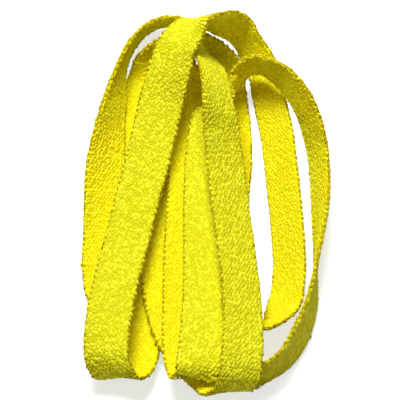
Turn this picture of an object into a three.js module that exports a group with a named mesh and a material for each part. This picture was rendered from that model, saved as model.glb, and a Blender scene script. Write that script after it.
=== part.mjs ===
// A flat braided lace, ten millimetres wide, laid up in a flat bundle on the table.
// One continuous band: three and a half turns with both tipped ends tucked underneath.
// Millimetres, +Z up, the bundle's long way along Y, the table at z = 0.

import * as THREE from "three";

// ---- driving sizes -------------------------------------------------------------------
const LACE_WIDTH = 10.0;
const LACE_THICKNESS = 1.1;
const EDGE_FACE = 0.4; // height of the blunt edge of the braid
const EDGE_SLOPE = 0.55; // how far the rounding runs in from the edge
const GAP = 0.3; // air between two neighbouring stretches of the lace
const FINE = 0.2; // spacing used to measure along the lace

const TIP_LENGTH = 12.5; // film sleeve on each end
const TIP_WIDTH = 4.3;
const TIP_HEIGHT = 2.6;
const TIP_WALL = 0.3;
const PINCH_THICKNESS = 1.5; // the braid where the sleeve squeezes it

const LAY_SHIFT = new THREE.Vector3(0, 2.71, 0); // puts the origin under the box's middle

// ---- how the lace is laid --------------------------------------------------------------
// Each row is [x, y, z, ax, ay, az] or [x, y, z, ax, ay, az, width share]. The first three
// are a point on the middle of the lace; the next three point across it; the last one is
// how much of the full width the lace takes there, where it is pinched or cupped.
const STRETCHES = [
  {
    name: "lace_end_a_pinched",
    step: 2.6,
    rows: [
      [-24.5, -39.5, 1.3, -1, 0, 0, 0.32],
      [-24.5, -33.0, 1.3, -1, 0, 0, 0.32],
    ],
  },
  {
    name: "lace_end_a_gather",
    step: 1.6,
    rows: [
      [-24.5, -26.6, 1.3, -1, 0, 0, 0.34],
      [-24.3, -22.5, 2.2, -1, 0, 0, 0.7],
    ],
  },
  {
    name: "left_loop_rise",
    step: 2.8,
    rows: [
      [-23.4, -17.5, 2.6, -1, 0, 0.08],
      [-23.1, -11.0, 3.0, -1, 0, 0.14],
      [-23.1, -4.5, 3.8, -1, 0, 0.3],
      [-23.2, 3.5, 4.9, -1, 0, 0.55],
      [-22.7, 10.5, 5.8, -1, 0, 0.85],
      [-21.9, 17.5, 6.7, -0.85, 0, 1.3],
      [-20.7, 24.0, 7.1, -0.6, 0.05, 1.5],
      [-19.4, 30.5, 7.5, -0.15, -0.05, 1.6],
      [-17.4, 36.2, 6.4, 0, -0.22, 1.6],
    ],
  },
  {
    name: "left_loop_top",
    step: 2.0,
    rows: [
      [-14.6, 40.5, 5.5, 0, -0.36, 1.6],
      [-11.2, 42.9, 5.3, 0, -0.38, 1.6],
      [-7.3, 43.2, 5.3, 0, -0.34, 1.6],
      [-3.5, 41.2, 5.2, 0, -0.1, 1.6],
      [0.0, 37.2, 5.1, 0.05, 0.35, 1.5],
      [2.5, 34.9, 4.3, 0.45, 0.35, 1.0],
      [3.5, 32.6, 1.6, 0.95, 0.1, 0.2],
    ],
  },
  {
    name: "middle_floor_run",
    step: 3.2,
    rows: [
      [4.2, 28.5, 0.8, 1, 0, 0],
      [5.0, 22.0, 0.55, 1, 0, 0],
      [5.6, 15.0, 0.55, 1, 0, 0],
      [5.5, 7.5, 0.55, 1, 0, 0],
      [4.8, 0.0, 0.65, 1, 0, 0],
      [4.6, -8.5, 0.8, 1, 0, 0],
      [5.8, -16.0, 1.4, 1, 0, -0.15],
    ],
  },
  {
    name: "right_inner_turn",
    step: 1.6,
    rows: [
      [6.3, -22.5, 2.6, 1, 0, -0.5],
      [7.8, -27.4, 3.7, 0.7, 0.3, -0.8],
      [9.9, -30.6, 4.3, 0.3, 0.5, -0.9],
      [12.9, -31.9, 4.5, 0, 0.5, -0.9],
      [15.8, -30.6, 4.4, -0.4, 0.4, -0.9],
      [17.6, -27.0, 3.6, -0.8, 0.2, -0.6, 0.93],
    ],
  },
  {
    name: "right_inner_run",
    step: 2.8,
    rows: [
      [18.7, -22.0, 3.3, -1, 0, -0.8, 0.93],
      [19.0, -15.5, 3.3, -1, 0, -0.85, 0.92],
      [18.6, -8.0, 3.3, -1, 0, -0.85, 0.92],
      [18.1, -0.8, 3.3, -1, 0, -0.85, 0.92],
      [17.4, 6.5, 3.3, -1, 0, -0.85, 0.92],
      [16.7, 13.8, 3.3, -1, 0, -0.85, 0.92],
      [15.7, 19.8, 3.2, -1, 0, -0.8, 0.88],
      [14.5, 25.7, 3.1, -1, -0.05, -0.75, 0.86],
      [13.5, 31.3, 3.3, -1, -0.2, -0.85, 0.85],
    ],
  },
  {
    name: "top_climb",
    step: 1.6,
    rows: [
      [10.9, 36.2, 5.1, -0.7, -0.35, -1.2, 0.9],
      [8.1, 39.3, 7.5, -0.3, -0.25, -1.4],
      [4.8, 39.8, 12.1, -0.1, -0.1, -1.5],
      [1.6, 38.9, 16.2, -0.42, 0.12, -1.1],
      [-1.5, 37.6, 18.7, -0.65, 0.3, -0.85],
    ],
  },
  {
    name: "front_left_run",
    step: 2.8,
    rows: [
      [-4.4, 34.4, 18.6, -0.9, 0.4, -0.5],
      [-6.9, 30.8, 17.7, -1, 0.35, -0.35],
      [-8.4, 26.0, 15.5, -1, 0.3, -0.2],
      [-10.2, 19.9, 12.4, -1, 0.2, -0.05],
      [-11.8, 13.3, 10.8, -1, 0.2, 0],
      [-13.6, 5.2, 9.6, -1, 0.2, 0],
      [-15.7, -3.0, 8.9, -1, 0.2, 0],
      [-17.9, -12.8, 8.6, -1, 0.2, 0],
      [-20.0, -21.5, 9.0, -1, 0.2, 0],
      [-21.6, -30.3, 9.6, -1, 0.15, 0],
    ],
  },
  {
    name: "front_left_turn",
    step: 1.6,
    rows: [
      [-22.3, -36.5, 9.8, -1, 0.1, -0.1],
      [-22.2, -41.0, 9.2, -1, 0.05, -0.2],
      [-21.1, -43.5, 7.0, -1, 0, -0.3],
      [-19.1, -43.9, 4.4, -1, 0.1, -0.35],
      [-16.8, -42.0, 2.7, -1, 0.1, -0.3],
    ],
  },
  {
    name: "left_floor_run",
    step: 3.2,
    rows: [
      [-15.4, -37.7, 1.8, -1, 0, -0.2],
      [-15.4, -32.0, 1.2, -1, 0, -0.1],
      [-16.1, -25.5, 0.7, -1, 0, 0],
      [-17.0, -18.0, 0.55, -1, 0, 0],
      [-17.7, -9.5, 0.55, -1, 0, 0],
      [-17.9, 0.0, 0.55, -1, 0, 0],
      [-17.3, 10.0, 0.55, -1, 0, 0],
      [-16.3, 18.5, 0.55, -1, 0, 0],
      [-15.0, 25.0, 0.65, -1, 0, 0],
    ],
  },
  {
    name: "second_top",
    step: 1.6,
    rows: [
      [-12.9, 30.7, 1.1, -1, 0.05, 0],
      [-11.7, 33.7, 3.0, -0.9, 0.3, 0.5],
      [-10.1, 36.0, 4.8, -0.4, 0.2, 1.2],
      [-6.9, 36.9, 6.0, -0.15, 0, 1.5],
      [-3.2, 35.3, 8.2, -0.2, 0, 1.4],
      [-0.1, 32.8, 10.2, -0.4, -0.12, 0.95],
    ],
  },
  {
    name: "front_right_run",
    step: 2.8,
    rows: [
      [1.3, 27.5, 14.8, -0.6, -0.05, 0.75, 0.92],
      [2.2, 22.2, 17.4, -0.68, 0, 0.72, 0.92],
      [2.8, 16.6, 17.1, -0.72, 0, 0.69, 0.95],
      [3.6, 10.7, 14.0, -0.78, 0, 0.62],
      [4.5, 3.0, 12.0, -0.83, 0, 0.55],
      [5.6, -6.5, 11.2, -0.85, 0, 0.53],
      [6.8, -16.3, 11.2, -0.85, 0, 0.53],
      [7.9, -26.4, 12.0, -0.85, 0, 0.53],
      [8.2, -35.4, 13.2, -0.87, 0, 0.5],
    ],
  },
  {
    name: "front_right_turn",
    step: 1.6,
    rows: [
      [7.9, -42.5, 14.2, -0.9, 0, 0.45],
      [7.4, -47.2, 13.0, -0.9, -0.1, 0.45],
      [6.0, -48.9, 9.8, -0.9, -0.15, 0.4],
      [3.6, -47.3, 6.6, -0.9, -0.3, 0.2],
      [0.6, -43.8, 5.0, -0.8, -0.5, 0.05],
    ],
  },
  {
    name: "under_left_run",
    step: 3.0,
    rows: [
      [-2.6, -40.0, 4.3, -0.8, -0.5, 0],
      [-5.6, -35.8, 3.8, -0.9, -0.35, 0],
      [-7.9, -30.2, 3.3, -1, -0.1, 0.05],
      [-9.3, -22.6, 2.7, -1, 0, 0.05],
      [-10.4, -13.9, 2.4, -1, 0, 0.05],
      [-11.1, -4.2, 2.4, -1, 0, 0.05],
      [-11.3, 5.6, 2.4, -1, 0, 0.05],
      [-11.3, 14.0, 2.7, -1, 0, 0.2],
    ],
  },
  {
    name: "inner_top",
    step: 1.5,
    rows: [
      [-11.4, 20.5, 3.8, -1, 0, 0.5],
      [-11.2, 25.0, 5.2, -0.8, 0.3, 1.0],
      [-9.3, 28.4, 5.8, -0.3, 0.5, 1.2],
      [-6.8, 29.6, 6.2, 0, 0.7, 1.2],
      [-4.5, 28.3, 7.3, 0.5, 0.5, 0.9],
    ],
  },
  {
    name: "inner_run",
    step: 3.0,
    rows: [
      [-3.8, 25.2, 5.4, 1, 0.2, 0.1],
      [-4.3, 20.5, 3.6, 1, 0, -0.25],
      [-4.1, 11.3, 3.6, 1, 0, -0.3],
      [-3.9, 0.0, 4.0, 1, 0, -0.3],
      [-4.6, -11.0, 4.2, 1, 0, -0.3],
      [-4.9, -22.0, 4.6, 1, 0, -0.3],
      [-4.9, -31.0, 5.6, 1, 0, -0.25],
    ],
  },
  {
    name: "inner_turn",
    step: 1.6,
    rows: [
      [-4.8, -38.2, 6.7, 1, 0, -0.2],
      [-4.1, -43.2, 7.6, 1, 0.1, -0.25],
      [-3.0, -45.6, 9.3, 1, 0.1, -0.2],
      [-1.8, -44.1, 10.7, 1, 0.05, -0.15],
    ],
  },
  {
    name: "middle_run",
    step: 3.0,
    rows: [
      [-1.1, -38.7, 10.6, 1, 0, -0.1],
      [-0.8, -29.0, 9.3, 1, 0, -0.05, 0.9],
      [-0.9, -17.4, 8.0, 1, 0, -0.05, 0.83],
      [-1.1, -6.0, 7.2, 1, 0, 0, 0.8],
      [-0.8, 3.8, 7.0, 1, 0, 0.05, 0.82],
      [0.1, 11.0, 7.2, 1, 0, 0.1, 0.9],
    ],
  },
  {
    name: "right_loop_top",
    step: 1.6,
    rows: [
      [1.3, 16.3, 8.1, 1, 0, 0.25],
      [2.4, 19.6, 9.0, 0.65, -0.2, 0.66],
      [4.1, 23.0, 6.9, 0.25, 0, 1.2],
      [6.0, 25.6, 6.7, 0.1, 0, 1.5],
      [7.7, 27.5, 7.1, 0.05, 0, 1.5],
      [9.1, 28.8, 8.9, 0, 0, 1.5],
      [11.6, 29.2, 10.8, 0, 0, 1.5],
      [14.3, 28.0, 12.2, 0.1, 0, 1.5],
      [17.5, 25.7, 12.7, 0.3, 0.1, 1.5],
      [20.2, 22.8, 12.6, 0.4, 0.1, 1.5],
    ],
  },
  {
    name: "right_loop_run",
    step: 2.8,
    rows: [
      [22.5, 19.5, 11.4, 0.5, 0, 1.5],
      [24.3, 15.4, 8.6, 0.5, 0, 1.5],
      [25.7, 10.2, 6.1, 0.6, 0, 1.5],
      [26.2, 3.3, 5.3, 0.6, 0, 1.5],
      [26.2, -4.1, 5.3, 0.5, 0, 1.5],
      [25.7, -11.4, 5.3, 0.25, 0, 1.5],
      [25.0, -18.3, 5.2, 0, 0, 1.5],
      [24.3, -24.9, 5.2, -0.25, 0, 1.5],
      [22.7, -31.0, 5.2, -0.4, 0.1, 1.5],
      [20.2, -36.4, 5.2, -0.4, 0.2, 1.5],
      [17.3, -40.5, 5.2, -0.2, 0.2, 1.5],
    ],
  },
  {
    name: "lace_end_b_gather",
    step: 1.4,
    rows: [
      [13.8, -43.0, 5.2, 0, 0.2, 1.5],
      [10.9, -43.4, 4.6, 0, 0.3, 1.3, 0.97],
      [8.8, -42.8, 3.2, 0, 0.7, 0.8, 0.75],
      [6.7, -41.9, 1.8, 0, 1, 0.25, 0.48],
    ],
  },
  {
    name: "lace_end_b_pinched",
    step: 2.6,
    rows: [
      [4.4, -41.3, 1.3, 0, 1, 0, 0.32],
      [-1.9, -40.0, 1.3, 0, 1, 0, 0.32],
      [-8.2, -38.7, 1.3, 0, 1, 0, 0.32],
    ],
  },
];

// ---- finishes --------------------------------------------------------------------------
const YARN = new THREE.MeshStandardMaterial({
  name: "yellow_yarn",
  color: 0xd6cb18,
  roughness: 0.85,
  metalness: 0.0,
});
const FILM = new THREE.MeshStandardMaterial({
  name: "clear_film",
  color: 0xe6dfa0,
  roughness: 0.25,
  metalness: 0.0,
});

const group = new THREE.Group();
group.name = "flat_braided_lace";

// ---- the middle line of the lace --------------------------------------------------------
const allRows = STRETCHES.flatMap((stretch) => stretch.rows);

/** One number of the smooth curve through rows i and i + 1. */
function between(i, share, pick) {
  const last = allRows.length - 1;
  const here = pick(allRows[i]);
  const next = pick(allRows[i + 1]);
  const before = i > 0 ? pick(allRows[i - 1]) : 2 * here - next;
  const after = i + 2 <= last ? pick(allRows[i + 2]) : 2 * next - here;
  const linear = (next - before) * share;
  const square = (2 * before - 5 * here + 4 * next - after) * share * share;
  const cube = (3 * here - before - 3 * next + after) * share ** 3;
  return here + 0.5 * (linear + square + cube);
}

/** The across direction of one row at unit length. */
function unitAcross(row) {
  return new THREE.Vector3(row[3], row[4], row[5]).normalize();
}

/** The share of the full width held by a row. */
function widthShare(row) {
  return row.length > 6 ? row[6] : 1;
}

/** Place, across direction and width share at `position`, counted in rows. */
function frameAt(position) {
  const i = Math.min(Math.floor(position), allRows.length - 2);
  const share = position - i;
  const place = new THREE.Vector3(
    between(i, share, (row) => row[0]),
    between(i, share, (row) => row[1]),
    between(i, share, (row) => row[2]),
  ).add(LAY_SHIFT);
  const across = new THREE.Vector3(
    between(i, share, (row) => unitAcross(row).x),
    between(i, share, (row) => unitAcross(row).y),
    between(i, share, (row) => unitAcross(row).z),
  );
  const width = THREE.MathUtils.lerp(widthShare(allRows[i]), widthShare(allRows[i + 1]), share);
  return { place, across, width };
}

/** The lace's length up to each fine step, so that it can be cut by length. */
function measureLace() {
  const marks = [{ position: 0, length: 0 }];
  const perRow = 40;
  const steps = (allRows.length - 1) * perRow;
  let previous = frameAt(0).place;
  let length = 0;
  for (let k = 1; k <= steps; k += 1) {
    const position = k / perRow;
    const place = frameAt(position).place;
    length += place.distanceTo(previous);
    previous = place;
    marks.push({ position, length });
  }
  return marks;
}

const marks = measureLace();
const laceLength = marks[marks.length - 1].length;

/** Read one column of the measured marks against the other. */
function readMarks(value, from, to) {
  let low = 0;
  let high = marks.length - 1;
  while (high - low > 1) {
    const middle = (low + high) >> 1;
    if (marks[middle][from] <= value) {
      low = middle;
    } else {
      high = middle;
    }
  }
  const span = marks[high][from] - marks[low][from];
  const share = span > 0 ? (value - marks[low][from]) / span : 0;
  return THREE.MathUtils.lerp(marks[low][to], marks[high][to], share);
}

/** A square frame of the lace at a length along it. */
function laceFrame(length) {
  const held = THREE.MathUtils.clamp(length, 0, laceLength);
  const frame = frameAt(readMarks(held, "length", "position"));
  const ahead = Math.min(held + FINE, laceLength);
  const behind = Math.max(held - FINE, 0);
  const along = frameAt(readMarks(ahead, "length", "position")).place;
  along.sub(frameAt(readMarks(behind, "length", "position")).place).normalize();
  const across = frame.across.addScaledVector(along, -frame.across.dot(along)).normalize();
  const out = new THREE.Vector3().crossVectors(across, along);
  return { place: frame.place, along, across, out, width: frame.width };
}

// ---- solids ------------------------------------------------------------------------------
/** Half of the braid's thickness where it holds `share` of its width. */
function halfThickness(share) {
  const pinch = THREE.MathUtils.clamp((0.8 - share) / 0.48, 0, 1);
  return THREE.MathUtils.lerp(LACE_THICKNESS, PINCH_THICKNESS, pinch) / 2;
}

/** The flat section of the braid: two broad faces and blunt rounded edges. */
function braidSection(share) {
  const w = (LACE_WIDTH * share) / 2;
  const t = halfThickness(share);
  const e = EDGE_FACE / 2;
  const s = EDGE_SLOPE;
  return [
    [w, -e],
    [w, e],
    [w - s, t],
    [-w + s, t],
    [-w, e],
    [-w, -e],
    [-w + s, -t],
    [w - s, -t],
  ];
}

/** A closed solid swept through frames that all carry the same number of section points. */
function sweep(frames, sectionOf) {
  const vertices = [];
  const faces = [];
  const count = sectionOf(frames[0]).length;
  frames.forEach((frame) => {
    sectionOf(frame).forEach(([a, b]) => {
      const point = frame.place.clone();
      point.addScaledVector(frame.across, a);
      point.addScaledVector(frame.out, b);
      vertices.push(point.x, point.y, point.z);
    });
  });
  for (let ring = 0; ring + 1 < frames.length; ring += 1) {
    for (let k = 0; k < count; k += 1) {
      const n = (k + 1) % count;
      const a = ring * count + k;
      const b = ring * count + n;
      const c = a + count;
      const d = b + count;
      faces.push(a, c, b, b, c, d);
    }
  }
  const lastRing = (frames.length - 1) * count;
  for (let k = 1; k + 1 < count; k += 1) {
    faces.push(0, k, k + 1);
    faces.push(lastRing, lastRing + k + 1, lastRing + k);
  }
  return solidFrom(vertices, faces);
}

/** Turn corner lists into a mesh geometry, facing out. */
function solidFrom(vertices, faces) {
  let volume = 0;
  const corner = (i) => new THREE.Vector3().fromArray(vertices, faces[i] * 3);
  for (let i = 0; i < faces.length; i += 3) {
    volume += corner(i).dot(corner(i + 1).cross(corner(i + 2)));
  }
  const ordered = [];
  for (let i = 0; i < faces.length; i += 3) {
    if (volume > 0) {
      ordered.push(faces[i], faces[i + 1], faces[i + 2]);
    } else {
      ordered.push(faces[i], faces[i + 2], faces[i + 1]);
    }
  }
  const geometry = new THREE.BufferGeometry();
  geometry.setAttribute("position", new THREE.Float32BufferAttribute(vertices, 3));
  geometry.setIndex(ordered);
  geometry.computeVertexNormals();
  return geometry;
}

/** Add a named solid to the object. */
function add(name, geometry, material) {
  const mesh = new THREE.Mesh(geometry, material);
  mesh.name = name;
  group.add(mesh);
}

// ---- the lace, stretch by stretch ----------------------------------------------------------
let firstRow = 0;
STRETCHES.forEach((stretch, index) => {
  const endRow = Math.min(firstRow + stretch.rows.length, allRows.length - 1);
  const start = readMarks(firstRow, "position", "length") + (index > 0 ? GAP / 2 : 0);
  const isLast = index === STRETCHES.length - 1;
  const end = readMarks(endRow, "position", "length") - (isLast ? 0 : GAP / 2);
  const pieces = Math.max(2, Math.round((end - start) / stretch.step));
  const frames = [];
  for (let k = 0; k <= pieces; k += 1) {
    frames.push(laceFrame(start + ((end - start) * k) / pieces));
  }
  add(stretch.name, sweep(frames, (frame) => braidSection(frame.width)), YARN);
  firstRow = endRow;
});

// ---- the film sleeves ------------------------------------------------------------------------
/** A flattened ring, listed as one loop of points around an ellipse-ended slot. */
function slotLoop(width, height, sides) {
  const straight = (width - height) / 2;
  const loop = [];
  for (let k = 0; k < sides; k += 1) {
    const angle = (2 * Math.PI * (k + 0.5)) / sides;
    const shift = Math.cos(angle) > 0 ? straight : -straight;
    loop.push([shift + (Math.cos(angle) * height) / 2, (Math.sin(angle) * height) / 2]);
  }
  return loop;
}

/** A sleeve around the pinched end of the braid, open at both ends. */
function tipSleeve(start, end) {
  const outer = slotLoop(TIP_WIDTH, TIP_HEIGHT, 16);
  const inner = slotLoop(TIP_WIDTH - 2 * TIP_WALL, TIP_HEIGHT - 2 * TIP_WALL, 16);
  const rings = [];
  const steps = 2;
  const from = laceFrame(start);
  const to = laceFrame(end);
  for (let k = 0; k <= steps; k += 1) {
    const place = from.place.clone().lerp(to.place, k / steps);
    rings.push({ place, across: from.across, out: from.out });
  }
  const vertices = [];
  const faces = [];
  const count = outer.length;
  const put = (frame, [a, b]) => {
    const point = frame.place.clone();
    point.addScaledVector(frame.across, a).addScaledVector(frame.out, b);
    vertices.push(point.x, point.y, point.z);
  };
  rings.forEach((frame) => {
    outer.forEach((pair) => put(frame, pair));
    inner.forEach((pair) => put(frame, pair));
  });
  const at = (ring, side, k) => ring * 2 * count + side * count + (k % count);
  for (let k = 0; k < count; k += 1) {
    for (let ring = 0; ring < steps; ring += 1) {
      faces.push(at(ring, 0, k), at(ring + 1, 0, k), at(ring, 0, k + 1));
      faces.push(at(ring, 0, k + 1), at(ring + 1, 0, k), at(ring + 1, 0, k + 1));
      faces.push(at(ring, 1, k), at(ring, 1, k + 1), at(ring + 1, 1, k));
      faces.push(at(ring, 1, k + 1), at(ring + 1, 1, k + 1), at(ring + 1, 1, k));
    }
    faces.push(at(0, 0, k), at(0, 0, k + 1), at(0, 1, k));
    faces.push(at(0, 0, k + 1), at(0, 1, k + 1), at(0, 1, k));
    faces.push(at(steps, 0, k), at(steps, 1, k), at(steps, 0, k + 1));
    faces.push(at(steps, 0, k + 1), at(steps, 1, k), at(steps, 1, k + 1));
  }
  return solidFrom(vertices, faces);
}

add("tip_sleeve_a", tipSleeve(0, TIP_LENGTH), FILM);
add("tip_sleeve_b", tipSleeve(laceLength - TIP_LENGTH, laceLength), FILM);

export default group;
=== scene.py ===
"""A flat braided lace, laid up in a loose flat bundle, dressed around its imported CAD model.

The lace is one continuous flat tubular braid, ten millimetres wide and about ninety
centimetres long, with a film sleeve crimped on each end. It is built in metres, in the CAD
frame: +Z up, the bundle's long way along Y, the surface it lies on at z = 0.
"""

from __future__ import annotations

import logging
import math
from dataclasses import dataclass, field
from enum import Enum
from functools import cached_property

import bmesh
import bpy
import numpy as np
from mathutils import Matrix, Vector


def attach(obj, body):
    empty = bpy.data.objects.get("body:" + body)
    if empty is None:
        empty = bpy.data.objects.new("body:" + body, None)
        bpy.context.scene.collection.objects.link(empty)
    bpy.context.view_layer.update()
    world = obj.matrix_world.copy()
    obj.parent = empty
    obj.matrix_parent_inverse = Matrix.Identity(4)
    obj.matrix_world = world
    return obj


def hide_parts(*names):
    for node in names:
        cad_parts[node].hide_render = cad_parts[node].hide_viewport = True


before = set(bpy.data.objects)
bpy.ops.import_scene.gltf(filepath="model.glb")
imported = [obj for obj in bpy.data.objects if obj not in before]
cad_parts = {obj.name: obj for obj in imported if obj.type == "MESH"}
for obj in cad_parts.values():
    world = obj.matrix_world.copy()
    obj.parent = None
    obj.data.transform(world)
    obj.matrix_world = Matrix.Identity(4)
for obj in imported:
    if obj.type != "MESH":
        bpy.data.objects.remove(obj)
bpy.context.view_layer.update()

LOG = logging.getLogger("lace")
ROOT = "root"
TIP_NODES = ("tip_sleeve_a", "tip_sleeve_b")


class Slot(Enum):
    """The record's material slots."""

    YARN = "yarn"
    FILM = "film"


@dataclass(frozen=True)
class Stretch:
    """One stretch of the lace between two of its cuts.

    A row is a point on the lace's middle line, then the direction across the lace, and then,
    only where it is pinched or cupped, the share of the full width that it takes there.
    """

    name: str
    rows: tuple[tuple[float, ...], ...]


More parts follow.
